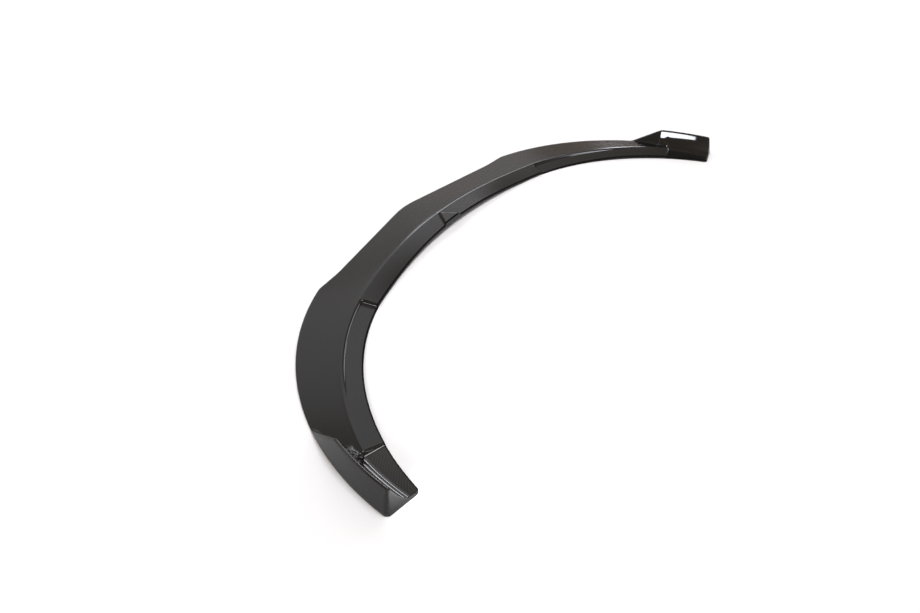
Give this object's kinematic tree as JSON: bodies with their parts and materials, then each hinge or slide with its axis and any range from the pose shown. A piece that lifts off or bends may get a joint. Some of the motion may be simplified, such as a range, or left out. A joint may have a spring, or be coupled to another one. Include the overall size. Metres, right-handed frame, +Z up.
{
  "type": "front splitter lip",
  "caption": "Carbon front splitter lip: a wide curved plate with a crowned top, a stepped rear land for the bumper and an upright wedge fence at each end, open underneath.",
  "frame": {"origin": "on the floor below the middle of the lip's bounding box", "axes": "+X across the car, +Y towards the rear of the car, +Z up"},
  "size_m": [1.8498, 0.6885, 0.0621],
  "materials": {
    "gloss_carbon": "clear-coated black carbon twill, gloss"
  },
  "bodies": {
    "root": {"splitter_lip": "gloss_carbon"}
  },
  "joints": []
}
